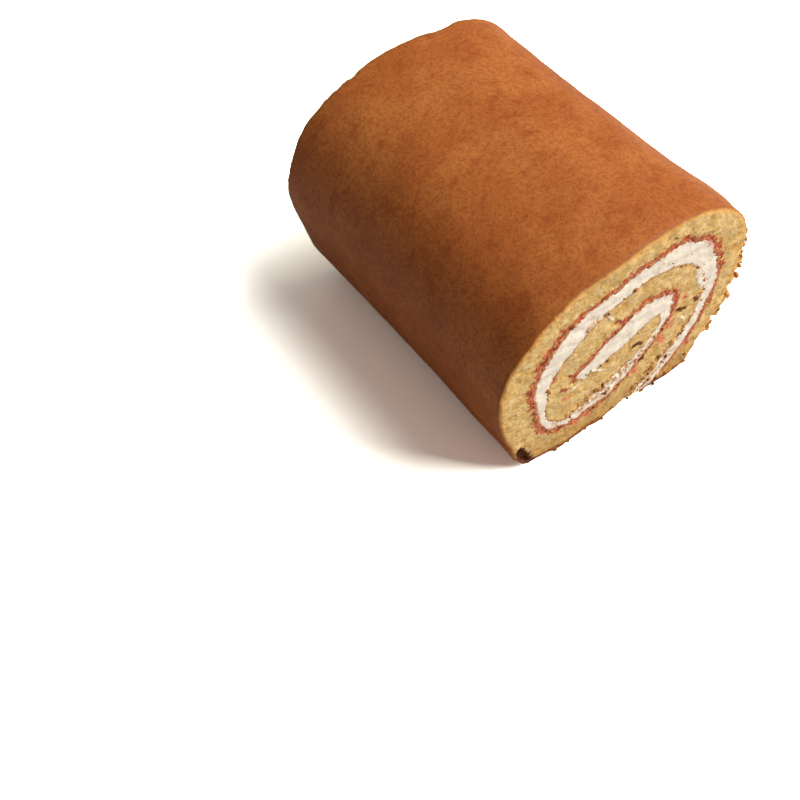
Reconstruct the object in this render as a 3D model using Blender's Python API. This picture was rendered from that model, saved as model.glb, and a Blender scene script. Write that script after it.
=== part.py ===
"""A swiss roll cake, cut square at both ends.

A thin sheet of sponge is spread with jam and then cream, and rolled up with its outer end tucked
underneath. Its layers run from one cut to the other, so each is one outline, drawn in the plane of the
cut (X across, Z up) and carried along the roll (Y). The shown cut faces -Y, and the roll rests on Z = 0.
"""

import math

import bmesh
import bpy
import numpy as np
from mathutils import Matrix

MM = 0.001

# Driving dimensions, in millimetres
ROLL_LENGTH = 98.0
ROLL_WIDTH = 90.6
ROLL_HEIGHT = 78.3
JAM_THICKNESS = 1.1
CLEARANCE = 0.3  # between touching layers
FILLING_FLOOR = 0.4  # how far the jam and the cream stay above what the roll rests on

# The sheet's middle line, from the outer end under the roll to the inner end: X, Z and sheet thickness
FIRST_TURN = (
    (16.6, 1.3, 2.0),
    (24.9, 3.9, 7.6),
    (32.8, 10.6, 11.2),
    (39.8, 31.5, 11.0),
    (35.4, 55.0, 10.2),
    (24.7, 68.4, 9.2),
    (7.7, 74.1, 8.2),
    (-12.3, 71.8, 9.4),
    (-31.6, 63.2, 10.6),
    (-39.4, 47.9, 11.2),
    (-36.2, 28.0, 10.8),
    (-28.4, 10.8, 12.0),
)
SECOND_TURN = (
    (-15.9, 5.9, 11.8),
    (-0.1, 6.8, 13.0),
    (11.6, 16.1, 13.0),
    (21.3, 28.9, 13.2),
    (23.2, 41.8, 11.0),
    (16.6, 53.0, 8.8),
    (4.9, 56.9, 10.4),
    (-10.1, 52.5, 12.4),
    (-20.6, 42.8, 11.2),
    (-22.9, 31.4, 9.8),
)
INNER_END = (
    (-18.0, 23.6, 13.6),
    (-5.9, 27.5, 13.6),
    (5.2, 33.6, 11.0),
    (12.7, 38.6, 5.0),
)

# Where the layers start and stop, as shares of the sheet's length from its outer end
SPONGE_END = 0.999  # the cream goes round this end
JAM_START = 0.02
JAM_END = 0.884
CREAM_START = 0.004
CREAM_END = 0.884
CREAM_FOLD = 0.915  # where the cream turns back along the sheet's inner end
CREAM_MOUTH = 0.612  # where it comes out at the seam, on the sheet's outer face

# How the roll's sides stray from straight: share of its length, right side out, left side in
SIDE_STATIONS = (
    (0.0, 0.0, 0.0),
    (0.1, 1.3, 0.4),
    (0.35, 0.9, 1.0),
    (0.7, 0.3, 0.6),
    (1.0, 0.0, -0.7),
)

# Fineness
PATH_STEPS = 1600
TURN_PER_POINT = math.radians(9)
LENGTH_PER_POINT = 7.0
SMOOTH_BELOW = math.radians(40)
WELD = 0.001


def smooth_path(stations, steps):
    """A natural cubic spline through the stations, which are spaced by their distance apart."""
    rows = np.array(stations, float)
    gap = np.linalg.norm(np.diff(rows[:, :2], axis=0), axis=1)
    reach = np.concatenate([[0.0], np.cumsum(gap)])
    last = len(rows) - 1
    system = np.eye(last + 1)
    target = np.zeros_like(rows)
    for i in range(1, last):
        system[i, i - 1 : i + 2] = gap[i - 1], 2 * (gap[i - 1] + gap[i]), gap[i]
        target[i] = 6 * ((rows[i + 1] - rows[i]) / gap[i] - (rows[i] - rows[i - 1]) / gap[i - 1])
    bend = np.linalg.solve(system, target)
    at = np.linspace(0.0, reach[-1], steps)
    i = np.clip(np.searchsorted(reach, at, side="right") - 1, 0, last - 1)
    h = gap[i][:, None]
    before = (reach[i + 1] - at)[:, None]
    after = (at - reach[i])[:, None]
    curved = (bend[i] * before**3 + bend[i + 1] * after**3) / (6 * h)
    return curved + (rows[i] / h - bend[i] * h / 6) * before + (rows[i + 1] / h - bend[i + 1] * h / 6) * after


class Sheet:
    """The rolled sheet: its middle line, its outward direction and half its thickness all along it."""

    def __init__(self, stations):
        path = smooth_path(stations, PATH_STEPS)
        self.middle = path[:, :2]
        self.half = path[:, 2:] / 2
        along = np.gradient(self.middle, axis=0)
        along /= np.linalg.norm(along, axis=1)[:, None]
        self.outward = np.stack([along[:, 1], -along[:, 0]], axis=1)

    def face(self, sign, clearance, start, stop):
        """The outer (+1) or inner (-1) face between two shares of the sheet, moved off it by clearance."""
        first, last = (round(share * (PATH_STEPS - 1)) for share in (start, stop))
        step = 1 if last >= first else -1
        picked = np.arange(first, last + step, step)
        offset = self.half[picked] + clearance
        return self.unfolded(picked, offset, self.middle[picked] + sign * self.outward[picked] * offset)

    def unfolded(self, picked, offset, points):
        """The points that keep their offset from the whole bend, where a tight bend would fold the face."""
        kept = np.ones(len(points), bool)
        window = PATH_STEPS // 8
        for k, (i, point) in enumerate(zip(picked, points)):
            bend = self.middle[max(i - window, 0) : i + window]
            kept[k] = np.linalg.norm(bend - point, axis=1).min() > offset[k, 0] - CLEARANCE / 10
        return points[kept]


def thinned(points):
    """The points that a curve needs: close together where it bends, further apart where it runs straight."""
    run = np.diff(points, axis=0)
    length = np.linalg.norm(run, axis=1)
    heading = np.unwrap(np.arctan2(run[:, 1], run[:, 0]))
    turn = np.abs(np.diff(heading, prepend=heading[0]))
    need = np.concatenate([[0.0], np.cumsum(turn / TURN_PER_POINT + length / LENGTH_PER_POINT)])
    wanted = np.linspace(0.0, need[-1], max(2, math.ceil(need[-1])))
    return points[np.unique(np.searchsorted(need, wanted - TURN_PER_POINT / PATH_STEPS))]


def outline(*runs):
    """One closed outline from runs of points."""
    return np.concatenate([thinned(run) for run in runs])


def layer_outlines(sheet):
    """The outlines of the sponge, the jam on its inner face, and the cream that fills the rest of the roll."""
    jam_top = CLEARANCE + JAM_THICKNESS
    return {
        "sponge": outline(
            sheet.face(1, 0, 0, SPONGE_END),
            sheet.face(-1, 0, SPONGE_END, 0),
        ),
        "jam": outline(
            sheet.face(-1, CLEARANCE, JAM_START, JAM_END),
            sheet.face(-1, jam_top, JAM_END, JAM_START),
        ),
        "cream": outline(
            sheet.face(-1, jam_top + CLEARANCE, CREAM_START, CREAM_END),
            sheet.face(-1, CLEARANCE, CREAM_FOLD, 1),
            sheet.face(1, CLEARANCE, 1, CREAM_MOUTH),
        ),
    }


def filled_outline(name, points):
    """A 2D curve along the outline, filled and extruded to the roll's length, as a mesh."""
    curve = bpy.data.curves.new(name, "CURVE")
    curve.dimensions = "2D"
    curve.fill_mode = "BOTH"
    curve.extrude = ROLL_LENGTH / 2
    spline = curve.splines.new("POLY")
    spline.points.add(len(points) - 1)
    for point, (x, z) in zip(spline.points, points):
        point.co = (x, z, 0.0, 1.0)
    spline.use_cyclic_u = True
    drawn = bpy.data.objects.new(name, curve)
    bpy.context.scene.collection.objects.link(drawn)
    graph = bpy.context.evaluated_depsgraph_get()
    mesh = bpy.data.meshes.new_from_object(drawn.evaluated_get(graph))
    bpy.data.objects.remove(drawn)
    return mesh


def cut_across(solid):
    """Cut the straight solid at the side stations, so that it can bend there."""
    for share, _, _ in SIDE_STATIONS[1:-1]:
        everything = solid.verts[:] + solid.edges[:] + solid.faces[:]
        place = (0.0, 0.0, ROLL_LENGTH * (0.5 - share))
        bmesh.ops.bisect_plane(solid, geom=everything, plane_co=place, plane_no=(0, 0, 1))


def baked_place(x, y, z):
    """Where a point of the straight roll lies on the real one, whose sides swell and draw in a little."""
    share, right, left = zip(*SIDE_STATIONS)
    at = y / ROLL_LENGTH + 0.5
    side = x / (ROLL_WIDTH / 2)
    push = np.interp(at, share, right) if side > 0 else np.interp(at, share, left)
    upright = math.sin(math.pi * min(max(z / ROLL_HEIGHT, 0.0), 1.0))
    return x + push * side**2 * upright, y, z


def build_layer(name, points, floor, colour, roughness, collection):
    """The solid of one layer."""
    mesh = filled_outline(name, points)
    solid = bmesh.new()
    solid.from_mesh(mesh)
    bmesh.ops.remove_doubles(solid, verts=solid.verts, dist=WELD)
    cut_across(solid)
    for vertex in solid.verts:
        across, up, front = vertex.co
        x, y, z = baked_place(across, -front, max(up, floor))
        vertex.co = (x * MM, y * MM, z * MM)
    bmesh.ops.recalc_face_normals(solid, faces=solid.faces)
    solid.to_mesh(mesh)
    solid.free()
    mesh.materials.clear()
    mesh.materials.append(plain_material(name, colour, roughness))
    mesh.shade_smooth()
    mesh.set_sharp_from_angle(angle=SMOOTH_BELOW)
    layer = bpy.data.objects.new(name, mesh)
    collection.objects.link(layer)
    return layer


def plain_material(name, colour, roughness):
    """One food's colour and shine."""
    material = bpy.data.materials.new(name)
    material.use_nodes = True
    shader = material.node_tree.nodes["Principled BSDF"]
    shader.inputs["Base Color"].default_value = (*colour, 1.0)
    shader.inputs["Roughness"].default_value = roughness
    shader.inputs["Metallic"].default_value = 0.0
    return material


def centre_across(layers):
    """Move the roll across so that the middle of its box is at X = 0."""
    across = [vertex.co.x for layer in layers for vertex in layer.data.vertices]
    shift = Matrix.Translation((-(min(across) + max(across)) / 2, 0.0, 0.0))
    for layer in layers:
        layer.data.transform(shift)


def main():
    for old in list(bpy.data.objects):
        bpy.data.objects.remove(old)
    roll = bpy.data.collections.new("swiss_roll")
    bpy.context.scene.collection.children.link(roll)
    outlines = layer_outlines(Sheet(FIRST_TURN + SECOND_TURN + INNER_END))
    sponge = build_layer("sponge", outlines["sponge"], 0.0, (0.72, 0.47, 0.16), 0.85, roll)
    jam = build_layer("jam", outlines["jam"], FILLING_FLOOR, (0.42, 0.02, 0.02), 0.35, roll)
    cream = build_layer("cream", outlines["cream"], FILLING_FLOOR, (0.86, 0.78, 0.70), 0.55, roll)
    centre_across((sponge, jam, cream))


main()
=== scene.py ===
import math

import bmesh
import bpy
import numpy as np
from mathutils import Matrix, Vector, kdtree, noise
from mathutils.geometry import delaunay_2d_cdt


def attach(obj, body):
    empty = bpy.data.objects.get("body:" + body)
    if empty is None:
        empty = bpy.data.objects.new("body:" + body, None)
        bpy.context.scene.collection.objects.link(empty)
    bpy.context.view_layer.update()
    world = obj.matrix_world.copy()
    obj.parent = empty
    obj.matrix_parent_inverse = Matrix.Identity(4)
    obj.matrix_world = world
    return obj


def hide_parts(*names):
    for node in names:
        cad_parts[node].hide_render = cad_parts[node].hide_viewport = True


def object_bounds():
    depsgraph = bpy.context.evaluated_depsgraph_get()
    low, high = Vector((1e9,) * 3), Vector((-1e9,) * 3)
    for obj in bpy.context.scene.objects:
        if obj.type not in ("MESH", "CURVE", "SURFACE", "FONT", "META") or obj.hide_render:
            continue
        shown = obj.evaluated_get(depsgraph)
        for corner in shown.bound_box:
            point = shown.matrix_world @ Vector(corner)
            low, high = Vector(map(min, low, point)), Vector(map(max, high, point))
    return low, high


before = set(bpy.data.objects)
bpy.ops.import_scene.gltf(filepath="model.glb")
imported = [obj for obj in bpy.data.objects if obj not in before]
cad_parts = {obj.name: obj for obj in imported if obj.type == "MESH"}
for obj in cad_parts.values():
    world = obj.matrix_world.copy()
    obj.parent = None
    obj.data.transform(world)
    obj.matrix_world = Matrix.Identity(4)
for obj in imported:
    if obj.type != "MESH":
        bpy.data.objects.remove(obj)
cad_box = [list(corner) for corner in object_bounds()]

# ------------------------------------------------------------------------------------------------
# The sponge: a thin sheet of whisked egg cake with a brown baked skin, rolled up skin side out with
# its outer end tucked underneath. A knife has cut the roll at both ends, where the open crumb shows
# round the fillings, and has torn the skin along the right of the front cut.
# ------------------------------------------------------------------------------------------------
MM = 0.001  # the frame is in metres, and the sizes below are in millimetres
FRONT = -1  # the way along Y that each cut faces
BACK = 1
HALF_LENGTH = cad_box[1][1] / MM
HALF_WIDTH = cad_box[1][0] / MM
HEIGHT = cad_box[1][2] / MM

CRUMB_SPACING = {FRONT: 0.33, BACK: 0.46}  # between the points of a cut face, in millimetres
SKIN_SPACING = 1.1  # between the points round the baked skin
RING_SPACING = 1.6  # between the rings of points along it
FIRST_RING = 0.9  # from a cut face to the first ring
LEAN_REACH = 14.0  # how far along the roll its rings follow the ups and downs of the cut's rim
HIDDEN_SPACING = 4.0  # between the points round the rolled-up inside
TOUCHING = {"jam": 0.5, "cream": 1.9}  # a layer closer than this shares a boundary with the sponge
WELD = 1e-6  # corners of a solid closer than this, in metres, are one
FACING = 0.9  # the least that a face of a cut points along Y
SHARP_TURN = math.radians(35)  # a bend of a solid's outline beyond this is a corner
CURVE_STEPS = 24  # along the curve between two corners
WHOLE_TURN = 2.0  # places round the sponge run from 0: its bare skin up to 1, the hidden rest up to this
NOISE_STEPS = (31.7, 17.3, 7.9)  # from one seed's noise to the next
NOISE_GAIN = 1.6  # brings the noise to about -1 to 1


def cad_outline(node, end):
    """A layer's outline at one cut, anticlockwise as seen from the front: X and Z in millimetres."""
    solid = bmesh.new()
    solid.from_mesh(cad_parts[node].data)
    bmesh.ops.remove_doubles(solid, verts=solid.verts, dist=WELD)
    solid.normal_update()
    facing = {face for face in solid.faces if face.normal.y * end > FACING}
    beside = {}
    for edge in solid.edges:
        if sum(face in facing for face in edge.link_faces) == 1:
            a, b = edge.verts
            beside.setdefault(a, []).append(b)
            beside.setdefault(b, []).append(a)
    first = previous = next(iter(beside))
    walk = [first]
    here = beside[first][0]
    while here is not first:
        walk.append(here)
        previous, here = here, next(v for v in beside[here] if v is not previous)
    points = np.array([(v.co.x, v.co.z) for v in walk]) / MM
    solid.free()
    after = np.roll(points, -1, axis=0)
    area = (points[:, 0] * after[:, 1] - after[:, 0] * points[:, 1]).sum()
    return points if area > 0 else points[::-1]


def smooth_loop(corners, spacing):
    """Points at an even spacing along a smooth closed curve through the corners."""
    back = corners - np.roll(corners, 1, axis=0)
    ahead = np.roll(corners, -1, axis=0) - corners
    lengths = np.linalg.norm(back, axis=1) * np.linalg.norm(ahead, axis=1)
    sharp = (back * ahead).sum(axis=1) / lengths < math.cos(SHARP_TURN)
    curve = bpy.data.curves.new("outline", "CURVE")
    curve.resolution_u = CURVE_STEPS
    spline = curve.splines.new("BEZIER")
    spline.bezier_points.add(len(corners) - 1)
    for point, place, corner in zip(spline.bezier_points, corners, sharp):
        point.co = (*place, 0.0)
        point.handle_left_type = point.handle_right_type = "VECTOR" if corner else "AUTO"
    spline.use_cyclic_u = True
    drawn = bpy.data.objects.new("outline", curve)
    mesh = drawn.to_mesh()
    fine = np.array([v.co[:2] for v in mesh.vertices])
    drawn.to_mesh_clear()
    bpy.data.objects.remove(drawn)
    bpy.data.curves.remove(curve)
    return resampled(closed(fine), spacing)[:-1]


def closed(loop):
    """The loop's values with the first one repeated at the end."""
    return np.concatenate([loop, loop[:1]])


def resampled(line, spacing):
    """The line's points, set out again at an even spacing from its first to its last."""
    reach = distance_along(line)
    count = max(2, round(reach[-1] / spacing) + 1)
    at = np.linspace(0.0, reach[-1], count)
    return np.stack([np.interp(at, reach, line[:, 0]), np.interp(at, reach, line[:, 1])], axis=1)


def distance_along(line):
    """How far along the line each of its points is."""
    steps = np.linalg.norm(np.diff(line, axis=0), axis=1)
    return np.concatenate([[0.0], np.cumsum(steps)])


def tree_of(points):
    """The points of a cut, sorted so that the nearest one is found quickly."""
    tree = kdtree.KDTree(len(points))
    for i, (x, z) in enumerate(points):
        tree.insert((x, z, 0.0), i)
    tree.balance()
    return tree


def distance_to(tree, points):
    """How far each point is from the nearest one in the tree."""
    return np.array([tree.find((x, z, 0.0))[2] for x, z in points])


def longest_run(flags):
    """The first index and the length of the longest unbroken run of true flags round a loop."""
    breaks = np.flatnonzero(~flags)
    gaps = np.diff(np.append(breaks, breaks[0] + len(flags))) - 1
    longest = gaps.argmax()
    return (breaks[longest] + 1) % len(flags), gaps[longest]


def outward(loop):
    """The unit directions out of an anticlockwise loop, at each of its points."""
    along = np.roll(loop, -1, axis=0) - np.roll(loop, 1, axis=0)
    along /= np.linalg.norm(along, axis=1)[:, None]
    return np.stack([along[:, 1], -along[:, 0]], axis=1)


def lumps(points, size, seed):
    """Soft noise from about -1 to 1 at each point, with lumps of about the given size in millimetres."""
    shift = Vector([seed * step for step in NOISE_STEPS])
    rows = points if points.shape[1] == 3 else np.pad(points, ((0, 0), (0, 1)))
    return np.array([noise.noise(Vector(row) / size + shift) for row in rows]) * NOISE_GAIN


def uneven(points, mix, level=0.0):
    """Unevenness about the level, of several heights and sizes at once, each with its own seed."""
    return sum((height * lumps(points, size, seed) for height, size, seed in mix), level)


def ramp(values, low, high):
    """A smooth step from 0 at low to 1 at high."""
    share = np.clip((values - low) / (high - low), 0.0, 1.0)
    return share * share * (3.0 - 2.0 * share)


def softened(values, reach, mode):
    """The values, each averaged smoothly with its neighbours up to reach places away."""
    window = np.hanning(2 * reach + 1)
    return np.convolve(np.pad(values, reach, mode=mode), window / window.sum(), mode="valid")


def stroke_distance(points, strokes):
    """How far each point is from the nearest stroke, in widths of that stroke."""
    nearest = np.full(len(points), np.inf)
    for start, stop, width in strokes:
        start = np.array(start)
        reach = np.array(stop) - start
        along = np.clip((points - start) @ reach / (reach @ reach), 0.0, 1.0)
        gap = np.linalg.norm(points - start - along[:, None] * reach, axis=1)
        nearest = np.minimum(nearest, gap / width)
    return nearest


# Where resting, rolling and cutting have pressed the sponge's outline aside at the front: the middle of
# the place, its radius, and how far it is pressed across and up
PRESSED = (
    ((34.5, 2.0), 4.0, (1.9, -1.2)),
    ((-29.5, 3.0), 4.5, (-1.8, -0.4)),
    ((-38.0, 18.0), 5.0, (1.3, 0.3)),
    ((-16.4, 30.5), 4.5, (1.4, 3.4)),
    ((-14.0, 40.5), 4.0, (0.6, -1.3)),
    ((9.0, 40.5), 5.0, (0.4, 2.4)),
    ((-8.0, 43.5), 6.0, (0.4, -1.2)),
    ((-5.0, 34.5), 5.0, (-0.2, 1.0)),
    ((17.0, 9.0), 6.0, (2.2, -1.9)),
)
# How far short of the roll's full length the knife has cut the back, from the left side to the right
BACK_SHORT = ((-14.0, 0.3), (-2.0, 1.1), (8.0, 2.3), (16.0, 0.7))
# A shallow hollow along the upper right of the roll: its middle, its half sizes and its depth
SLACK = ((32.0, 10.0, 62.0), (20.0, 34.0, 20.0), 1.0)
# Where the front's skin is torn: it sets in across and upwards, and ends upwards, between these places
TORN_ACROSS = (26.0, 34.0)
TORN_ABOVE = (6.0, 11.0)
TORN_BELOW = (48.0, 60.0)
# What the knife and the oven left on the front cut, and painted shade in its holes: where each mark starts
# and stops, and its width
AIR_HOLES = (
    ((20.0, 37.4), (22.6, 35.1), 0.8),
    ((6.6, 73.4), (7.2, 72.6), 0.4),
    ((-34.6, 13.5), (-29.8, 2.6), 1.6),
)
# Painted shade: near-black marks in the air holes and in the hollow at the lower left corner.
HOLE_SHADE_MARKS = (
    ((20.0, 37.4), (22.6, 35.1), 0.9),
    ((4.0, 33.1), (7.0, 31.9), 0.9),
    ((25.9, 38.9), (27.6, 36.2), 0.6),
    ((18.2, 4.8), (21.0, 3.4), 0.9),
    ((-21.2, 39.3), (-20.7, 38.6), 0.4),
    ((-35.0, 15.5), (-33.4, 10.5), 0.7),
    ((-34.6, 12.8), (-28.6, 1.2), 2.1),
)
LITTER_AND_SHADOW = (
    ((-21.0, 16.5), (-8.0, 20.0), 1.7),
    ((-8.0, 20.0), (4.0, 23.0), 1.9),
    ((7.0, 24.5), (13.0, 30.5), 1.4),
    ((28.5, 30.5), (26.5, 22.5), 0.9),
    ((24.0, 21.0), (15.0, 12.5), 1.8),
    ((15.0, 12.5), (7.5, 3.0), 2.0),
    ((-14.0, 15.6), (-2.0, 17.6), 1.0),
    ((3.0, 22.5), (8.0, 27.0), 1.2),
    ((24.5, 15.5), (14.0, 3.5), 1.3),
    ((-18.0, 57.0), (-12.0, 59.8), 0.9),
    # These two strokes over the flap low on the right are painted shadow under the torn rim, as well as
    # litter.
    ((17.0, 5.0), (33.0, 1.5), 1.6),
    ((31.0, 8.0), (35.0, 3.0), 1.6),
)
CREAM_SMEARS = (
    ((-12.4, 34.2), (-6.0, 30.2), 0.3),
    ((-13.6, 34.0), (-18.7, 30.7), 0.4),
    ((-11.6, 57.4), (-8.4, 53.4), 0.25),
    ((23.6, 51.0), (26.8, 43.5), 1.3),
    ((22.6, 32.6), (24.8, 29.4), 0.35),
)
JAM_LUMPS = (
    ((-21.0, 38.8), (-18.8, 37.0), 0.7),
    ((-23.0, 34.6), (-20.4, 32.8), 0.8),
    ((-27.6, 62.9), (-26.8, 61.4), 0.7),
    ((-6.6, 51.8), (-4.6, 49.8), 0.7),
    ((-36.4, 44.6), (-34.8, 42.6), 0.6),
    ((16.0, 47.5), (14.4, 49.6), 0.6),
)
JAM_SPOTS = (
    ((-21.8, 28.6), (-19.6, 27.4), 0.8),
    ((17.6, 33.6), (18.8, 31.0), 1.1),
    ((15.6, 28.0), (17.6, 25.2), 1.2),
    ((5.6, 19.8), (9.4, 17.0), 1.1),
    ((21.2, 42.4), (22.2, 40.8), 0.9),
    ((-14.6, 11.2), (-12.4, 9.4), 0.8),
    ((-8.8, 10.6), (-6.6, 7.6), 0.9),
    ((28.0, 16.6), (31.6, 14.0), 1.5),
    ((-27.4, 42.6), (-26.2, 41.2), 0.7),
)
# Each kind of mark: its strokes, how far its edge wanders and in lumps of what size, their seed, and the
# widths away from the stroke at which it starts to fade and is gone
MARKS = {
    "hole": (AIR_HOLES, 0.25, 1.2, 20, 0.5, 1.2),
    "hole_shade": (HOLE_SHADE_MARKS, 0.35, 0.9, 21, 0.6, 1.5),
    "litter_and_shadow": (LITTER_AND_SHADOW, 0.5, 1.6, 26, 0.3, 1.5),
    "smear": (CREAM_SMEARS, 0.5, 0.7, 22, 0.5, 1.3),
    "jam_spot": (JAM_SPOTS, 0.6, 1.1, 23, 0.4, 1.5),
    "jam_lump": (JAM_LUMPS, 0.6, 0.9, 29, 0.5, 1.3),
}
MARK_BEND = 0.55  # how far a mark's stroke strays from a straight line

# How far the sponge's boundary strays where it is bare, and where it meets the jam and the cream
BARE_STRAY = 0.05
JAM_STRAY = 0.6
CREAM_STRAY = 0.5
STRAY_START = 6  # points from the start of the bare skin over which the straying sets in
TEETH_LEVEL = 0.5  # how deep a torn rim is bitten on the whole
BACK_TEARING = 0.2  # how torn the back's rim is at the most
JAM_THICKNESS = 1.05
THINNEST_JAM = 0.25
THICKEST_JAM = 2.3
JAM_TAPER = 0.01  # share of the jam's line over which it thins out at either end
JAM_TRIM = 4  # points left off the jam's line at either end, where it has no thickness

# The net of points inside the boundaries, in shares of its spacing
NET_SEED = 11
NET_SHAKE = 0.28  # how far each point is moved from its place
NET_MARGIN = 0.62  # how far the net keeps from the boundaries
SAME_PLACE = 1e-5  # points of a cut closer than this are one

# The relief of a cut: how far it stands proud of the knife's plane, and how deep or high its marks are
PROUD = 0.1
HOLE_DEPTH = 1.8
SMEAR_HEIGHT = 0.25
LITTER_HEIGHT = 0.35
CALM_RIM = (0.1, 0.9)  # how far from the rim the relief sets in
ROUNDED_DEPTH = 0.4
ROUNDED_REACH = 0.6
TORN_DEPTH = 0.8
TORN_REACH = 1.6
UNDERSIDE = (2.0, 6.0)  # the heights between which the underside passes into the side
PORE_SEED = 12
PORES_PER_AREA = 0.75  # open air cells in each square millimetre of crumb
PORE_RADIUS = 0.3
PORE_GROWTH = 0.16  # how much wider than that a pore is on average
PORE_DEPTH = 0.25  # as a share of its radius
RIM_SPREAD = 4  # points over which the deepest places of the rim set how far back the skin starts
RIM_SOFTENING = 5  # points over which that is smoothed

# Unevenness: heights, sizes of the lumps and seeds
RAGGED_LINE = ((0.55, 2.2, 3), (0.5, 1.0, 4))
TORN_TEETH = ((0.9, 3.1, 5), (0.8, 1.1, 6))
JAM_RIDGES = ((0.8, 5.0, 7), (0.6, 1.1, 8))
KNIFE_WAVES = ((0.3, 11.0, 12), (0.18, 3.4, 13))
CRUMB_RELIEF = ((0.09, 2.1, 14), (0.03, 0.9, 15))
CREAM_RELIEF = ((0.1, 2.1, 16), (0.04, 0.9, 17))
JAM_RELIEF = ((0.2, 1.0, 18),)
TORN_SKIN = ((1.2, 2.0, 19),)
SKIN_DENTS = ((0.36, 19.0, 31), (0.1, 6.0, 32))

# The baked skin along the roll: where its dents set in, away from the cuts and above the table
DENTS_FROM_CUT = (1.0, 7.0)
DENTS_ABOVE = (0.5, 9.0)
SIDE_STEPS = 197  # along the roll's sides
SIDE_SOFTENING = 15  # steps over which the bends of the sides are smoothed
SAME_STATION = 0.2  # corners of the solid closer than this along the roll stand at one station
# The skin measure: its value at the rim of each cut, how much less it rises over the underside, and its
# value inside the roll
RIM_SKIN = {FRONT: 0.35, BACK: 1.1}
SOLE = 0.75
INSIDE = 3.0
FAR = 9.0  # a distance that no finish reaches


def pressed(loop):
    """The sponge's outline at the front, with the places in it that are pressed aside."""
    move = np.zeros_like(loop)
    for middle, radius, shift in PRESSED:
        away = np.linalg.norm(loop - middle, axis=1) / radius
        move += np.exp(-(away**2))[:, None] * shift
    loop = loop + move
    loop[:, 1] = np.maximum(loop[:, 1], 0.0)
    return loop


def underside(points):
    """How near each point of a cut is to what the roll rests on, from 0 to 1."""
    return 1.0 - ramp(points[:, 1], *UNDERSIDE)


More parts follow.
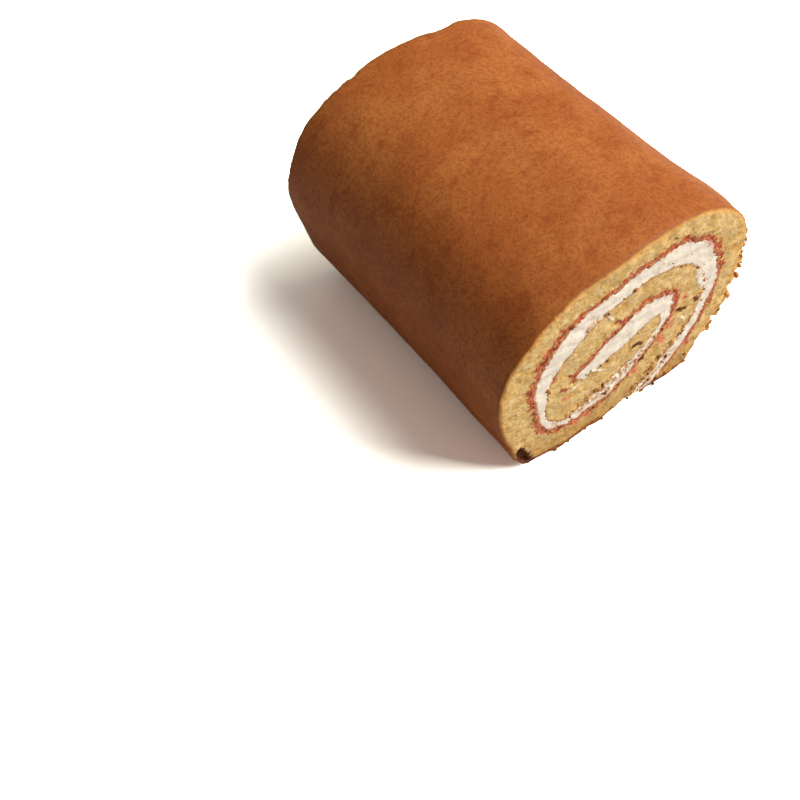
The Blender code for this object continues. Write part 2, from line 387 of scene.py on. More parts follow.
class Cut:
    """One cut face of the roll: its points, the triangles between them and the layer that each is in."""

    LAYERS = ("sponge", "jam", "cream")

    def __init__(self, end):
        self.end = end
        self.spacing = CRUMB_SPACING[end]
        self.find_boundaries()
        self.draw_boundaries()
        self.fill()
        self.measure()
        self.press()

    def find_boundaries(self):
        """Finds where the sponge's outline is bare, where it meets the cream and where it meets the jam."""
        sponge = smooth_loop(cad_outline("sponge", self.end), self.spacing)
        near = {}
        for layer, reach in TOUCHING.items():
            outline = smooth_loop(cad_outline(layer, self.end), self.spacing)
            near[layer] = distance_to(tree_of(outline), sponge) < reach
        if self.end == FRONT:
            sponge = pressed(sponge)
        first, self.bare = longest_run(~(near["jam"] | near["cream"]))
        self.sponge = np.roll(sponge, -first, axis=0)
        self.jam_first, jam_count = longest_run(np.roll(near["jam"], -first))
        self.jam_last = self.jam_first + jam_count - 1
        index = np.arange(len(sponge))
        hidden = len(sponge) - self.bare
        self.at = np.where(index < self.bare, index / self.bare, 1 + (index - self.bare) / hidden)

    def draw_boundaries(self):
        """Makes the boundaries as ragged as torn crumb and spread jam, and lists the layers' outlines."""
        smooth = self.sponge
        count = len(smooth)
        index = np.arange(count)
        normals = outward(smooth)
        is_bare = index < self.bare
        is_jam = (index >= self.jam_first) & (index <= self.jam_last)
        stray = np.where(is_bare, BARE_STRAY, np.where(is_jam, JAM_STRAY, CREAM_STRAY))
        share = (index - self.jam_first) / (self.jam_last - self.jam_first)
        taper = np.where(is_jam, ramp(np.minimum(share, 1.0 - share), 0.0, JAM_TAPER), 1.0)
        start = ramp(np.minimum(index, count - index), 0, STRAY_START)
        rough = stray * uneven(smooth, RAGGED_LINE) * taper * start
        rough -= self.tearing(smooth) * is_bare * uneven(smooth, TORN_TEETH, TEETH_LEVEL)
        rim = smooth + normals * rough[:, None]
        rim[:, 1] = np.maximum(rim[:, 1], 0.0)

        jam_line = smooth[is_jam]
        thickness = uneven(jam_line, JAM_RIDGES, JAM_THICKNESS)
        thickness = np.clip(thickness, rough[is_jam] + THINNEST_JAM, THICKEST_JAM)
        spread = jam_line + normals[is_jam] * (thickness * taper[is_jam])[:, None]
        spread = spread[JAM_TRIM:-JAM_TRIM]
        mouth = resampled(np.array([smooth[self.bare], smooth[0]]), self.spacing)[1:-1]

        self.smooth = np.vstack([smooth, spread, mouth])
        self.edge = np.vstack([rim, spread, mouth])
        whole = list(range(count))
        spread_index = list(range(count, count + len(spread)))
        mouth_index = list(range(count + len(spread), len(self.edge)))
        jam = whole[self.jam_first : self.jam_last + 1] + spread_index[::-1]
        cream = whole[self.bare : self.jam_first + 1] + spread_index + whole[self.jam_last :]
        cream += whole[:1] + mouth_index[::-1]
        self.outlines = {"sponge": whole, "jam": jam[::-1], "cream": cream[::-1]}

    def tearing(self, points):
        """How torn the skin is at the rim, from 0 to 1."""
        if self.end == BACK:
            return BACK_TEARING * ramp(lumps(points, 14.0, 9), 0.0, 0.8)
        across, up = points.T
        return ramp(across, *TORN_ACROSS) * ramp(up, *TORN_ABOVE) * (1.0 - ramp(up, *TORN_BELOW))

    def fill(self):
        """Fills the boundaries with a loose net of points and joins them all up."""
        rng = np.random.default_rng(NET_SEED)
        low = self.edge.min(axis=0)
        high = self.edge.max(axis=0)
        rows = np.arange(low[1], high[1], self.spacing * math.sqrt(0.75))
        columns = np.arange(low[0], high[0], self.spacing)
        x, z = np.meshgrid(columns, rows)
        x[1::2] += self.spacing / 2
        net = np.stack([x.ravel(), z.ravel()], axis=1)
        net += rng.uniform(-NET_SHAKE, NET_SHAKE, net.shape) * self.spacing
        net = net[distance_to(tree_of(self.edge), net) > NET_MARGIN * self.spacing]
        places = [Vector(place) for place in np.vstack([self.edge, net])]
        regions = [self.outlines[layer] for layer in self.LAYERS]
        filled = delaunay_2d_cdt(places, [], regions, 1, SAME_PLACE)
        points, _, triangles, sources, _, inside = filled
        self.points = np.array([tuple(point) for point in points])
        self.triangles = np.array(triangles)
        self.layer = np.array([min(found) for found in inside])
        made = {source: i for i, found in enumerate(sources) for source in found}
        self.outlines = {name: [made[i] for i in loop] for name, loop in self.outlines.items()}
        self.smooth = {name: self.smooth[loop] for name, loop in zip(self.LAYERS, regions)}
        self.point_layer = np.full(len(points), len(self.LAYERS))
        for corner in self.triangles.T:
            np.minimum.at(self.point_layer, corner, self.layer)

    def measure(self):
        """Measures what the finishes need at each point: distances, and marks from 0 to 1."""
        points = self.points
        sponge = self.edge[: len(self.sponge)]
        self.rim = distance_to(tree_of(sponge[: self.bare]), points)
        self.measures = {
            "skin": RIM_SKIN[self.end] + self.rim * (1.0 - SOLE * underside(points)),
            "inner_skin": distance_to(tree_of(sponge[self.bare : self.jam_first]), points),
            "spread": distance_to(tree_of(sponge[self.jam_first : self.jam_last]), points),
        }
        bent = points + MARK_BEND * np.stack([lumps(points, 2.3, 33), lumps(points, 2.3, 34)], axis=1)
        for kind, (strokes, wander, size, seed, fading, gone) in MARKS.items():
            away = stroke_distance(bent, strokes if self.end == FRONT else ())
            self.measures[kind] = 1.0 - ramp(away + wander * lumps(points, size, seed), fading, gone)

    def press(self):
        """Gives the face its relief: how deep each point lies behind the knife's plane."""
        points = self.points
        marks = self.measures
        plane = uneven(points, KNIFE_WAVES)
        if self.end == BACK:
            plane += np.interp(points[:, 0] + lumps(points, 6.0, 24), *zip(*BACK_SHORT))
        crumb = uneven(points, CRUMB_RELIEF) + self.pores() - PROUD
        whipped = uneven(points, CREAM_RELIEF) - PROUD
        jelly = uneven(points, JAM_RELIEF) - PROUD
        hollow = np.choose(self.point_layer, [crumb, jelly, whipped, whipped])
        hollow += HOLE_DEPTH * marks["hole"] - SMEAR_HEIGHT * marks["smear"]
        hollow -= LITTER_HEIGHT * marks["litter_and_shadow"] * (0.5 + lumps(points, 0.9, 27))
        hollow *= ramp(self.rim, *CALM_RIM)
        hollow += ROUNDED_DEPTH * np.exp(-((self.rim / ROUNDED_REACH) ** 2)) * (1.0 - underside(points))
        torn = uneven(points, TORN_SKIN, TORN_DEPTH)
        hollow += self.tearing(points) * np.exp(-self.rim / TORN_REACH) * torn
        self.measures["hollow"] = hollow
        self.depth = plane + hollow
        deepest = self.depth[self.outlines["sponge"]]
        for _ in range(RIM_SPREAD):
            deepest = np.maximum(deepest, np.maximum(np.roll(deepest, 1), np.roll(deepest, -1)))
        self.rim_depth = softened(deepest, RIM_SOFTENING, "wrap")

    def pores(self):
        """The depth of the open air cells that the knife has cut through, in the sponge alone."""
        depth = np.zeros(len(self.points))
        tree = tree_of(self.points)
        rng = np.random.default_rng(PORE_SEED)
        crumb = np.flatnonzero(self.point_layer == 0)
        count = round(len(crumb) * self.spacing**2 * PORES_PER_AREA)
        chosen = rng.choice(crumb, size=count, replace=False)
        for i, radius in zip(chosen, PORE_RADIUS + rng.exponential(PORE_GROWTH, count)):
            centre = (*self.points[i], 0.0)
            for _, j, gap in tree.find_range(centre, radius):
                bowl = radius * (1.0 - (gap / radius) ** 2)
                depth[j] = max(depth[j], bowl)
        return PORE_DEPTH * depth * (self.point_layer == 0)

    def places(self, chosen):
        """The chosen points of the face as they lie on the roll, in three dimensions."""
        x, z = self.points[chosen].T
        return np.stack([x, self.end * (HALF_LENGTH - self.depth[chosen]), z], axis=1)

    def places_round(self, layer):
        """How far round its outline each point of a layer's outline is, from 0 to a whole turn."""
        if layer == "sponge":
            return self.at
        reach = distance_along(closed(self.smooth[layer]))
        return WHOLE_TURN * reach[:-1] / reach[-1]


cuts = {end: Cut(end) for end in (FRONT, BACK)}
MEASURES = ("skin", "inner_skin", "spread", "hollow", "hole_shade", "smear", "jam_spot", "jam_lump", "litter_and_shadow")


def zipped(low, high, low_at, high_at):
    """Triangles between two closed rings of points, each with its own count, by their places round it."""
    triangles = []
    i = j = 0
    low_at = np.append(low_at, low_at[0] + WHOLE_TURN)
    high_at = np.append(high_at, high_at[0] + WHOLE_TURN)
    while i < len(low) or j < len(high):
        on_low = j == len(high) or (i < len(low) and low_at[i + 1] <= high_at[j + 1])
        a = low[i % len(low)]
        b = high[j % len(high)]
        if on_low:
            i += 1
            triangles.append((a, low[i % len(low)], b))
        else:
            j += 1
            triangles.append((a, high[j % len(high)], b))
    return triangles


def side_reach():
    """How far the roll's right and left sides stand out beyond a straight line between its two cuts."""
    corners = np.array([v.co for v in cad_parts["sponge"].data.vertices]) / MM
    stations = np.unique(corners[:, 1].round(1))
    fine = np.linspace(-HALF_LENGTH, HALF_LENGTH, SIDE_STEPS)
    reach = []
    for extreme in (np.max, np.min):
        side = [extreme(corners[np.abs(corners[:, 1] - at) < SAME_STATION, 0]) for at in stations]
        straight = np.interp(stations, stations[[0, -1]], (side[0], side[-1]))
        swell = np.interp(fine, stations, side - straight)
        reach.append(softened(swell, SIDE_SOFTENING, "edge"))
    return fine, *reach


def skin_ring(y, at, ends, sides):
    """The points round the roll at one place along it, between the sponge's outlines at the two cuts."""
    along, right, left = sides
    share = (y / HALF_LENGTH + 1) / 2
    flat = ends[0] * (1 - share) + ends[1] * share
    out = outward(flat)
    upright = np.sin(math.pi * np.clip(flat[:, 1] / HEIGHT, 0.0, 1.0))
    side = flat[:, 0] / HALF_WIDTH
    push = np.where(side > 0, np.interp(y, along, right), np.interp(y, along, left))
    flat[:, 0] += push * side**2 * upright
    ring = np.stack([flat[:, 0], np.full(len(flat), y), flat[:, 1]], axis=1)
    middle, size, depth = SLACK
    dents = uneven(ring, SKIN_DENTS)
    dents -= depth * np.exp(-(((ring - middle) / size) ** 2).sum(axis=1))
    is_skin = at < 1
    dents *= ramp(HALF_LENGTH - abs(y), *DENTS_FROM_CUT) * ramp(flat[:, 1], *DENTS_ABOVE) * is_skin
    ring[:, [0, 2]] += out * dents[:, None]
    for end, cut in cuts.items():
        from_end = HALF_LENGTH - end * y
        if from_end < LEAN_REACH:
            short = np.interp(at, np.append(cut.at, WHOLE_TURN), closed(cut.rim_depth))
            ring[:, 1] -= end * short * (1.0 - from_end / LEAN_REACH)
    ring[:, 2] = np.clip(ring[:, 2], 0.0, HEIGHT)
    return ring


def skin_rings():
    """The rings of points along the roll, and the places round it that they share."""
    front = cuts[FRONT]
    bare = round(front.bare * front.spacing / SKIN_SPACING)
    hidden = round((len(front.sponge) - front.bare) * front.spacing / HIDDEN_SPACING)
    at = np.concatenate([np.arange(bare) / bare, 1 + np.arange(hidden) / hidden])
    ends = []
    for cut in cuts.values():
        reach = np.append(cut.at, WHOLE_TURN)
        ends.append(np.stack([np.interp(at, reach, row) for row in closed(cut.sponge).T], axis=1))
    sides = side_reach()
    first = HALF_LENGTH - FIRST_RING
    stations = np.linspace(-first, first, round(2 * first / RING_SPACING))
    return [skin_ring(y, at, ends, sides) for y in stations], at


def placed(name, data):
    """A new object in the scene that shows the given mesh, light or camera."""
    made = bpy.data.objects.new(name, data)
    bpy.context.scene.collection.objects.link(made)
    return made


def closed_mesh(name, places, faces, values):
    """A smooth closed mesh of the places in millimetres, with each measure's values at its points."""
    mesh = bpy.data.meshes.new(name)
    mesh.from_pydata((places * MM).tolist(), [], faces)
    for key, column in values.items():
        attribute = mesh.attributes.new(key, "FLOAT", "POINT")
        attribute.data.foreach_set("value", column.astype(np.float32))
    solid = bmesh.new()
    solid.from_mesh(mesh)
    bmesh.ops.recalc_face_normals(solid, faces=solid.faces)
    solid.to_mesh(mesh)
    solid.free()
    mesh.shade_smooth()
    return mesh


def layer_piece(name, layer, rings=(), ring_at=None, ring_measures=None):
    """One layer as a closed mesh: its two cut faces, and a wall between them through the rings, if any."""
    number = Cut.LAYERS.index(layer)
    places = []
    faces = []
    loops = []
    values = {key: [] for key in MEASURES}
    base = 0
    for cut in cuts.values():
        own = cut.triangles[cut.layer == number]
        used = np.unique(own)
        renumber = np.full(len(cut.points), -1)
        renumber[used] = np.arange(len(used)) + base
        places.append(cut.places(used))
        faces += renumber[own].tolist()
        loops.append((renumber[cut.outlines[layer]].tolist(), cut.places_round(layer)))
        for key, column in values.items():
            column.append(cut.measures[key][used])
        base += len(used)
    walls = [loops[0]]
    for ring in rings:
        places.append(ring)
        walls.append((list(range(base, base + len(ring))), ring_at))
        for key, column in values.items():
            column.append(ring_measures.get(key, 0.0) * np.ones(len(ring)))
        base += len(ring)
    walls.append(loops[1])
    for (low, low_at), (high, high_at) in zip(walls, walls[1:]):
        faces += zipped(low, high, low_at, high_at)
    values = {key: np.concatenate(column) for key, column in values.items()}
    return placed(name, closed_mesh(name, np.vstack(places), faces, values))


rings, ring_at = skin_rings()
ring_measures = {"skin": np.where(ring_at < 1, 0.0, INSIDE), "inner_skin": FAR, "spread": FAR}
sponge = layer_piece("sponge_sheet", "sponge", rings, ring_at, ring_measures)


def add(tree, kind, inputs=None, **settings):
    """A new shader node with its settings, its inputs given values or joined to other nodes' outputs."""
    made = tree.nodes.new("ShaderNode" + kind)
    for name, value in settings.items():
        setattr(made, name, value)
    for name, value in (inputs or {}).items():
        if isinstance(value, bpy.types.NodeSocket):
            tree.links.new(value, made.inputs[name])
        else:
            made.inputs[name].default_value = value
    return made


def blended(tree, mask, low, high):
    """The colour low where the mask is 0 and high where it is 1."""
    return add(tree, "Mix", {0: mask, 6: low, 7: high}, data_type="RGBA").outputs[2]


def calculated(tree, operation, first, second):
    """The outcome of a sum on two values."""
    return add(tree, "Math", {0: first, 1: second}, operation=operation).outputs[0]


def times(tree, first, second):
    """The product of two values."""
    return calculated(tree, "MULTIPLY", first, second)


def stained(tree, under, mask, amount, over):
    """The colour under, covered by the colour over where the mask is 1, as far as the amount goes."""
    return blended(tree, times(tree, mask, amount), under, over)


def stretched(tree, value, low, high, low_out=0.0, high_out=1.0):
    """The value, with low to high stretched smoothly to the two outcomes and kept between them."""
    inputs = {"Value": value, "From Min": low, "From Max": high, "To Min": low_out, "To Max": high_out}
    return add(tree, "MapRange", inputs, interpolation_type="SMOOTHSTEP").outputs[0]


def clouds(tree, size, detail=2.0, roughness=0.5):
    """Noise from 0 to 1 whose lumps are of the given size in millimetres."""
    place = add(tree, "TexCoord").outputs["Object"]
    inputs = {"Vector": place, "Scale": 1 / (size * MM), "Detail": detail, "Roughness": roughness}
    return add(tree, "TexNoise", inputs).outputs[0]


def patches(tree, size, low, high, detail=3.0, roughness=0.5):
    """Soft-edged patches of about the given size in millimetres, where the noise goes from low to high."""
    return stretched(tree, clouds(tree, size, detail, roughness), low, high)


RELIEF_DEPTH = 0.3 * MM


def roughened(tree, shader, strength, height):
    """Gives the shader's surface a fine relief of the given strength."""
    bump = add(tree, "Bump", {"Strength": strength, "Distance": RELIEF_DEPTH, "Height": height})
    tree.links.new(bump.outputs[0], shader["Normal"])


def measured(tree, name):
    """What a cut measured at each point under the given name."""
    return add(tree, "Attribute", attribute_name=name).outputs["Fac"]


def new_group(name, inputs, outputs):
    """An empty shader group whose inputs, with their defaults, and outputs are all plain numbers."""
    group = bpy.data.node_groups.new(name, "ShaderNodeTree")
    for socket, default in inputs.items():
        made = group.interface.new_socket(name=socket, in_out="INPUT", socket_type="NodeSocketFloat")
        made.default_value = default
    for socket in outputs:
        group.interface.new_socket(name=socket, in_out="OUTPUT", socket_type="NodeSocketFloat")
    return group, group.nodes.new("NodeGroupInput").outputs, group.nodes.new("NodeGroupOutput").inputs


def from_group(tree, group, inputs, output):
    """One output of a shader group placed in the tree with its own inputs."""
    return add(tree, "Group", inputs, node_tree=group).outputs[output]


def new_material(name, **constants):
    """A material whose Principled BSDF has the given constants, with its tree and that shader's inputs."""
    material = bpy.data.materials.new(name)
    material.use_nodes = True
    shader = material.node_tree.nodes["Principled BSDF"]
    for socket, value in constants.items():
        shader.inputs[socket.replace("_", " ")].default_value = value
    return material, material.node_tree, shader.inputs


def air_cells():
    """Open crumb: how deep in a small air cell a point is, for the painted shade in it and for its relief.
    """
    group, given, result = new_group("air cells", {"Size": 1.0 * MM}, ["Depth"])
    place = add(group, "TexCoord").outputs["Object"]
    warp = add(group, "TexNoise", {"Vector": place, "Scale": 900.0, "Detail": 2.0}).outputs["Color"]
    shift = add(group, "VectorMath", {0: warp, "Scale": 0.8 * MM}, operation="SCALE").outputs[0]
    moved = add(group, "VectorMath", {0: place, 1: shift}, operation="ADD").outputs[0]
    scale = calculated(group, "DIVIDE", 1.0, given["Size"])
    large = add(group, "TexVoronoi", {"Vector": moved, "Scale": scale}).outputs["Distance"]
    finer_scale = times(group, scale, 2.3)
    small = add(group, "TexVoronoi", {"Vector": moved, "Scale": finer_scale}).outputs["Distance"]
    deep = stretched(group, large, 0.15, 0.5, 1.0, 0.0)
    finer = times(group, stretched(group, small, 0.1, 0.5, 1.0, 0.0), 0.6)
    group.links.new(calculated(group, "MAXIMUM", deep, finer), result["Depth"])
    return group


def seeped_jam():
    """Where jam has soaked in: 1 on the jam's own line, and broken spots over the reach in millimetres."""
    group, given, result = new_group("seeped jam", {"Distance": 0.0, "Reach": 1.0}, ["Mask"])
    coarse = times(group, clouds(group, 2.6, 3.0, 0.6), 2.6)
    wander = calculated(group, "ADD", coarse, clouds(group, 0.5, 2.0, 0.6))
    limit = times(group, given["Reach"], calculated(group, "SUBTRACT", wander, 1.15))
    over = calculated(group, "SUBTRACT", limit, given["Distance"])
    group.links.new(stretched(group, over, -0.12, 0.25), result["Mask"])
    return group


AIR_CELLS = air_cells()
SEEPED_JAM = seeped_jam()


def colour(red, green, blue):
    """An opaque colour for a shader's socket."""
    return (red, green, blue, 1.0)


def baked_skin(tree):
    """The colour of the baked skin, with painted shade just before the cut's rim, and its relief."""
    blotches = patches(tree, 16.0, 0.35, 0.65, detail=2.0)
    skin = blended(tree, blotches, colour(0.40, 0.113, 0.024), colour(0.47, 0.151, 0.035))
    scorch = patches(tree, 5.0, 0.52, 0.7, roughness=0.55)
    skin = stained(tree, skin, scorch, 0.55, colour(0.30, 0.06, 0.012))
    mottle = patches(tree, 1.6, 0.35, 0.65, roughness=0.65)
    skin = stained(tree, skin, mottle, 0.3, colour(0.22, 0.05, 0.01))
    freckles = patches(tree, 0.8, 0.46, 0.68, roughness=0.7)
    skin = stained(tree, skin, freckles, 0.42, colour(0.19, 0.04, 0.009))
    dust = stretched(tree, clouds(tree, 0.7, 3.0, 0.7), 0.32, 0.46, 1.0, 0.0)
    skin = stained(tree, skin, dust, 0.3, colour(0.55, 0.21, 0.05))
    # Painted shade: the skin darkens just before the cut's rim, taking out the light on its rounded edge.
    painted_rim_shade = stretched(tree, measured(tree, "skin"), 0.0, 0.25, 0.0, 0.8)
    skin = blended(tree, painted_rim_shade, skin, colour(0.29, 0.08, 0.014))
    grain = times(tree, clouds(tree, 0.8, 3.0, 0.6), 0.5)
    height = calculated(tree, "SUBTRACT", grain, times(tree, freckles, 0.4))
    return skin, height


def open_crumb(tree, cell):
    """The cut sponge's colour: painted shade in its cells, its pits and low down, a dark bottom line,
    golden by the skin.
    """
    tone = patches(tree, 1.3, 0.27, 0.73, detail=4.0, roughness=0.7)
    crumb = blended(tree, tone, colour(0.80, 0.66, 0.355), colour(0.70, 0.43, 0.13))
    crumb = stained(tree, crumb, patches(tree, 4.5, 0.42, 0.62), 0.5, colour(0.57, 0.33, 0.09))
    up = add(tree, "SeparateXYZ", {0: add(tree, "TexCoord").outputs["Object"]}).outputs[2]
    # Painted shade: the crumb darkens towards the bottom of the cut, where less light reaches it.
    painted_low_shade = stretched(tree, up, 1.0 * MM, 20.0 * MM, 0.75, 0.0)
    crumb = blended(tree, painted_low_shade, crumb, colour(0.46, 0.26, 0.075))
    # Painted shade in the small air cells and in the deeper places of the cut's relief.
    crumb = stained(tree, crumb, cell, 0.5, colour(0.52, 0.22, 0.022))
    painted_pit_shade = stretched(tree, measured(tree, "hollow"), -0.05, 0.15)
    crumb = stained(tree, crumb, painted_pit_shade, 0.5, colour(0.54, 0.24, 0.025))
    golden = stretched(tree, measured(tree, "skin"), 1.2, 3.2, 0.6, 0.0)
    crumb = blended(tree, golden, crumb, colour(0.66, 0.37, 0.11))
    toast = stretched(tree, measured(tree, "skin"), 0.4, 1.5, 0.8, 0.0)
    crumb = blended(tree, toast, crumb, colour(0.46, 0.18, 0.04))
    low = stretched(tree, up, 1.0 * MM, 6.0 * MM, 1.0, 0.0)
    sole = stretched(tree, measured(tree, "skin"), 0.5, 1.7, 0.85, 0.0)
    return stained(tree, crumb, sole, low, colour(0.19, 0.065, 0.018))


def marked_crumb(tree, crumb):
    """The crumb's colour with the jam, the toasted bits and the cream that the knife has left on it."""
    spread = measured(tree, "spread")
    toasted = patches(tree, 0.8, 0.53, 0.61, roughness=0.65)
    beside_jam = stretched(tree, spread, 0.8, 3.6, 0.85, 0.06)
    crumb = stained(tree, crumb, toasted, beside_jam, colour(0.36, 0.10, 0.03))
    soaked = from_group(tree, SEEPED_JAM, {"Distance": spread, "Reach": 2.0}, "Mask")
    crumb = stained(tree, crumb, soaked, 0.8, colour(0.52, 0.10, 0.04))
    spot = measured(tree, "jam_spot")
    crumb = stained(tree, crumb, spot, 0.75, colour(0.78, 0.24, 0.11))
    crumb = stained(tree, crumb, measured(tree, "jam_lump"), 0.85, colour(0.30, 0.03, 0.02))
    drops = patches(tree, 1.1, 0.5, 0.6, roughness=0.6)
    dotted = times(tree, calculated(tree, "MAXIMUM", soaked, spot), drops)
    crumb = stained(tree, crumb, dotted, 0.8, colour(0.33, 0.03, 0.02))
    # Dark crumbs strewn by the knife, and painted shadow over the flap under the torn rim.
    strewn_and_shadow = times(tree, patches(tree, 0.9, 0.47, 0.58, roughness=0.65), measured(tree, "litter_and_shadow"))
    crumb = stained(tree, crumb, strewn_and_shadow, 0.9, colour(0.36, 0.11, 0.025))
    wander = times(tree, clouds(tree, 1.7, 3.0, 0.7), 2.1)
    edge = stretched(tree, calculated(tree, "SUBTRACT", wander, measured(tree, "inner_skin")), 0.3, 0.9)
    crumb = stained(tree, crumb, edge, 0.8, colour(0.42, 0.15, 0.035))
    return blended(tree, measured(tree, "smear"), crumb, colour(0.90, 0.82, 0.69))


def baked_sponge():
    """Brown baked skin where the skin measure is 0, golden just under it and pale open crumb further in."""
    material, tree, shader = new_material("baked sponge", Specular_IOR_Level=0.15)
    skin, skin_height = baked_skin(tree)
    cell = from_group(tree, AIR_CELLS, {"Size": 1.1 * MM}, "Depth")
    crumb = marked_crumb(tree, open_crumb(tree, cell))
    crumb_height = calculated(tree, "SUBTRACT", clouds(tree, 0.5, 3.0), times(tree, cell, 0.9))
    wander = calculated(tree, "SUBTRACT", clouds(tree, 0.9, 3.0), 0.5)
    under = calculated(tree, "ADD", measured(tree, "skin"), wander)
    is_crumb = stretched(tree, under, 0.2, 0.95)
    surface = blended(tree, is_crumb, skin, crumb)
    # Painted shade in the air holes and the corner hollow, near black.
    hole_shade_colour = blended(tree, clouds(tree, 0.9, 3.0), colour(0.07, 0.021, 0.008), colour(0.20, 0.06, 0.019))
    surface = blended(tree, measured(tree, "hole_shade"), surface, hole_shade_colour)
    tree.links.new(surface, shader["Base Color"])
    tree.links.new(stretched(tree, is_crumb, 0.0, 1.0, 0.5, 0.88), shader["Roughness"])
    heights = {0: is_crumb, 2: skin_height, 3: crumb_height}
    roughened(tree, shader, 0.14, add(tree, "Mix", heights, data_type="FLOAT").outputs[0])
    return material


sponge.data.materials.append(baked_sponge())
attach(sponge, "root")
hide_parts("sponge")

# ------------------------------------------------------------------------------------------------
# The jam: soft red jam spread thinly over the sheet before the cream, so that it shows at the cuts as
# an uneven line along the inner side of every turn, thick in some places and scraped off in others.
# ------------------------------------------------------------------------------------------------
jam = layer_piece("jam_layer", "jam")


def soft_jam():
    """Moist red jam with darker lumps of fruit, broken by crumbs and streaks of cream."""
    material, tree, shader = new_material("soft jam", Roughness=0.42, Specular_IOR_Level=0.2)
    dark = patches(tree, 1.4, 0.42, 0.6, roughness=0.6)
    red = blended(tree, dark, colour(0.52, 0.065, 0.03), colour(0.26, 0.02, 0.012))
    crumbs = patches(tree, 1.2, 0.46, 0.52, roughness=0.65)
    bits = blended(tree, clouds(tree, 0.7, 2.0), colour(0.74, 0.44, 0.15), colour(0.36, 0.09, 0.025))
    red = stained(tree, red, crumbs, 0.9, bits)
    tree.links.new(red, shader["Base Color"])
    roughened(tree, shader, 0.5, clouds(tree, 0.6, 3.0))
    return material


jam.data.materials.append(soft_jam())
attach(jam, "root")
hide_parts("jam")

# ------------------------------------------------------------------------------------------------
# The cream: a thick layer of whipped cream on the jam, rolled up with the sheet. The knife has dragged
# a little jam and a few crumbs of sponge into its edges.
# ------------------------------------------------------------------------------------------------
cream = layer_piece("cream_filling", "cream")


def whipped_cream():
    """Satin white cream, pink where jam has mixed into it, with crumbs of sponge along its edges."""
    material, tree, shader = new_material(
        "whipped cream", Roughness=0.5, Subsurface_Weight=0.2, Subsurface_Scale=1.0
    )
    shader["Subsurface Radius"].default_value = (0.0016, 0.0012, 0.0009)
    base = blended(tree, clouds(tree, 3.5, 3.0), colour(0.91, 0.825, 0.70), colour(0.86, 0.76, 0.62))
    spread = measured(tree, "spread")
    seeped = from_group(tree, SEEPED_JAM, {"Distance": spread, "Reach": 1.7}, "Mask")
    base = stained(tree, base, seeped, 0.6, colour(0.66, 0.2, 0.11))
    specks = patches(tree, 0.55, 0.58, 0.67, detail=2.0, roughness=0.6)
    near_skin = stretched(tree, measured(tree, "inner_skin"), 0.3, 2.4, 1.0, 0.4)
    base = stained(tree, base, specks, near_skin, colour(0.58, 0.27, 0.08))
    strewn_and_shadow = times(tree, patches(tree, 0.9, 0.44, 0.5, roughness=0.65), measured(tree, "litter_and_shadow"))
    crumb = blended(tree, clouds(tree, 0.7, 2.0), colour(0.80, 0.52, 0.2), colour(0.36, 0.12, 0.03))
    base = blended(tree, strewn_and_shadow, base, crumb)
    tree.links.new(base, shader["Base Color"])
    roughened(tree, shader, 0.2, clouds(tree, 0.9, 4.0, 0.6))
    return material


cream.data.materials.append(whipped_cream())
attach(cream, "root")
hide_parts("cream")

# ------------------------------------------------------------------------------------------------
# Loose crumbs: bits of skin and sponge that the knife has torn off. They cling to the torn rim, along
# the bottom of the front cut and where the inner turns' skin meets the cream.
# ------------------------------------------------------------------------------------------------
SKIN_BIT = (0.42, 0.14, 0.03)
DARK_BIT = (0.20, 0.07, 0.02)
GOLDEN_BIT = (0.66, 0.33, 0.09)
PALE_BIT = (0.86, 0.62, 0.27)
JAMMY_BIT = (0.45, 0.08, 0.04)
CRUMB_SEED = 41
LOW_RIM = 2.5  # below this height the rim is the roll's bottom edge
TORN_ENOUGH = 0.35  # how torn the rim is where crumbs hang on it
LITTERED = 0.5  # how littered the cut is where crumbs lie on it
CLING_MIDDLE = (0.0, 0.2, 0.0)  # how a crumb lies off its point of the cut, and how much that varies
CLING_SPREAD = (0.5, 0.3, 0.4)
BIT_STRETCH = (0.4, 1.5)  # from the narrowest to the longest side of a bit, in radiuses
BIT_BRIGHTNESS = (0.75, 1.2)
BIT_BULGE = 0.8  # how far its lumps stand out, in radiuses


def crumb_places(cut, rng):
    """The point of the cut, the radius and the colour of each crumb."""
    outline = np.array(cut.outlines["sponge"])
    bare = outline[: cut.bare]
    low = cut.points[bare, 1] < LOW_RIM
    torn = cut.tearing(cut.points[bare]) > TORN_ENOUGH
    inner = outline[cut.bare : cut.jam_first]
    jam = outline[cut.jam_first : cut.jam_last]
    cream = np.flatnonzero(cut.point_layer == 2)
    littered = np.flatnonzero((cut.measures["litter_and_shadow"] > LITTERED) & (cut.points[:, 1] > LOW_RIM))
    # Where each kind lies, how many there are, their least and greatest radius, and their colours
    sets = (
        (bare[torn], 110, (0.25, 0.9), (SKIN_BIT, GOLDEN_BIT, GOLDEN_BIT, GOLDEN_BIT, PALE_BIT)),
        # The crumbs along the bottom edge are mostly dark as painted shade there.
        (bare[low], 16, (0.25, 0.6), (DARK_BIT, DARK_BIT, SKIN_BIT)),
        (inner, 80, (0.2, 0.6), (DARK_BIT, SKIN_BIT, GOLDEN_BIT)),
        (jam, 120, (0.2, 0.5), (JAMMY_BIT, DARK_BIT, GOLDEN_BIT)),
        (cream, 60, (0.12, 0.3), (GOLDEN_BIT, SKIN_BIT)),
        (littered, 120, (0.25, 0.7), (DARK_BIT, SKIN_BIT, SKIN_BIT, GOLDEN_BIT)),
    )
    for points, count, (small, large), colours in sets:
        for i in rng.choice(points, size=count):
            radius = small + (large - small) * rng.random() ** 2
            yield i, radius, colours[rng.integers(len(colours))]


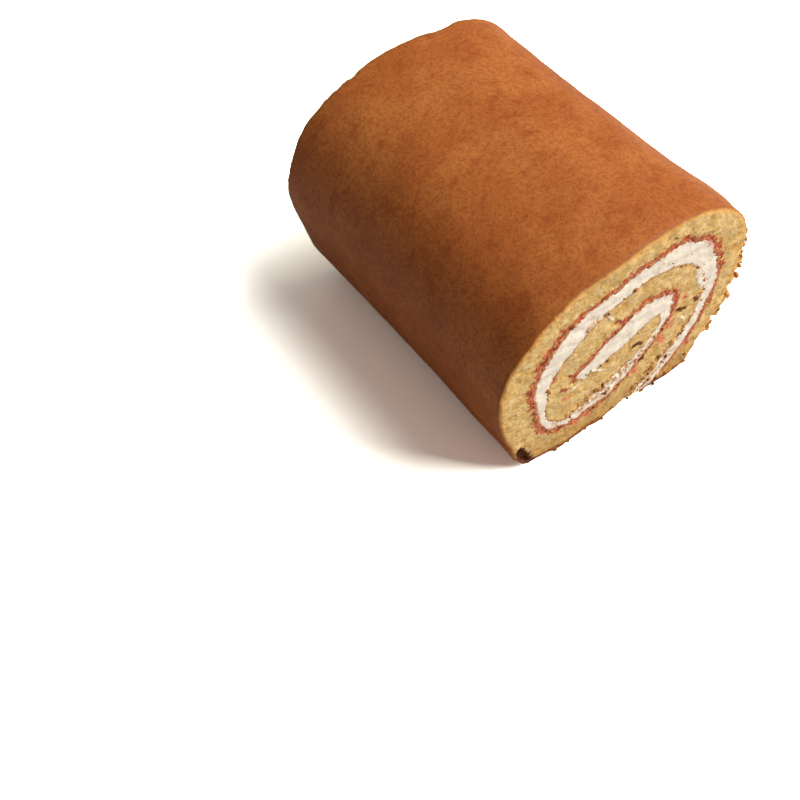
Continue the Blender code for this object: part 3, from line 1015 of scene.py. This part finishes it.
def loose_crumbs():
    """All the crumbs as one mesh of rough little lumps, each with its own colour."""
    rng = np.random.default_rng(CRUMB_SEED)
    cut = cuts[FRONT]
    solid = bmesh.new()
    tint = solid.verts.layers.float_color.new("tint")
    for i, radius, shade in crumb_places(cut, rng):
        x, y, z = cut.places([i])[0] + rng.normal(CLING_MIDDLE, CLING_SPREAD)
        centre = Vector((x, y, max(z, 0.8 * radius)))
        lump = bmesh.ops.create_icosphere(solid, subdivisions=2, radius=radius)["verts"]
        stretch = Vector(rng.uniform(*BIT_STRETCH, 3))
        shift = Vector(rng.uniform(0.0, 50.0, 3))
        brightness = rng.uniform(*BIT_BRIGHTNESS)
        for vertex in lump:
            bulge = 1.0 + BIT_BULGE * noise.noise(vertex.co * (1.5 / radius) + shift)
            place = centre + vertex.co * stretch * bulge
            place.z = max(place.z, 0.0)
            vertex.co = place * MM
            vertex[tint] = (*(min(1.0, part * brightness) for part in shade), 1.0)
    mesh = bpy.data.meshes.new("loose_crumbs")
    solid.to_mesh(mesh)
    solid.free()
    mesh.shade_smooth()
    return placed("loose_crumbs", mesh)


def crumb_bits():
    """Matt crumb in each bit's own colour, with painted shade in its small pores."""
    material, tree, shader = new_material("crumb bits", Roughness=0.85, Specular_IOR_Level=0.3)
    own = add(tree, "Attribute", attribute_name="tint").outputs["Color"]
    cell = from_group(tree, AIR_CELLS, {"Size": 0.7 * MM}, "Depth")
    # Painted shade in the pores.
    shaded = stained(tree, own, cell, 0.45, colour(0.30, 0.12, 0.035))
    tree.links.new(shaded, shader["Base Color"])
    roughened(tree, shader, 0.6, calculated(tree, "SUBTRACT", clouds(tree, 0.35, 3.0), cell))
    return material


crumbs = loose_crumbs()
crumbs.data.materials.append(crumb_bits())
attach(crumbs, "root")

# ------------------------------------------------------------------------------------------------
# The table, the light and the camera: a flat white table under one soft light from the upper right, with a
# weak even light from all round.
# ------------------------------------------------------------------------------------------------
# Sizes and places here are in metres
TABLE_HALF = 4.0
TABLE_WHITE = colour(0.56, 0.53, 0.50)  # as it lights the roll from below
TABLE_SEEN = colour(2.8, 2.84, 2.66)  # as the camera sees it, kept white beyond the shadow
LIGHT_FROM = Vector((0.52, -0.41, 0.82))
LIGHT_DISTANCE = 1.5
ROLL_MIDDLE = Vector((0.0, 0.0, HEIGHT / 2 * MM))
CAMERA_PLACE = (-0.1437, -0.1418, 0.2437)
CAMERA_AZIMUTH = math.radians(-36.05)
CAMERA_DIP = math.radians(55.7)

table_mesh = bpy.data.meshes.new("table")
sheet = bmesh.new()
bmesh.ops.create_grid(sheet, x_segments=1, y_segments=1, size=TABLE_HALF)
sheet.to_mesh(table_mesh)
sheet.free()
table = placed("table", table_mesh)
table.location.z = cad_box[0][2]
white, white_tree, white_shader = new_material("white table", Roughness=0.9)
seen = add(white_tree, "LightPath").outputs["Is Camera Ray"]
white_tree.links.new(blended(white_tree, seen, TABLE_WHITE, TABLE_SEEN), white_shader["Base Color"])
table_mesh.materials.append(white)

world = bpy.data.worlds.new("studio")
bpy.context.scene.world = world
world.use_nodes = True
world.node_tree.nodes["Background"].inputs["Color"].default_value = colour(1.0, 0.91, 0.87)
world.node_tree.nodes["Background"].inputs["Strength"].default_value = 0.17

light = bpy.data.lights.new("key", "AREA")
light.shape = "SQUARE"
light.size = 1.1
light.energy = 37.5
light.color = (1.0, 0.985, 0.96)
lamp = placed("key", light)
lamp.location = ROLL_MIDDLE + LIGHT_FROM.normalized() * LIGHT_DISTANCE
lamp.rotation_euler = (ROLL_MIDDLE - lamp.location).to_track_quat("-Z", "Y").to_euler()

camera = bpy.data.cameras.new("camera")
camera.lens = 43.0
camera.sensor_width = 36.0
camera.clip_start = 0.01
viewer = placed("camera", camera)
viewer.location = CAMERA_PLACE
viewer.rotation_euler = (math.pi / 2 - CAMERA_DIP, 0.0, CAMERA_AZIMUTH)
bpy.context.scene.camera = viewer
bpy.context.scene.view_settings.view_transform = "Standard"
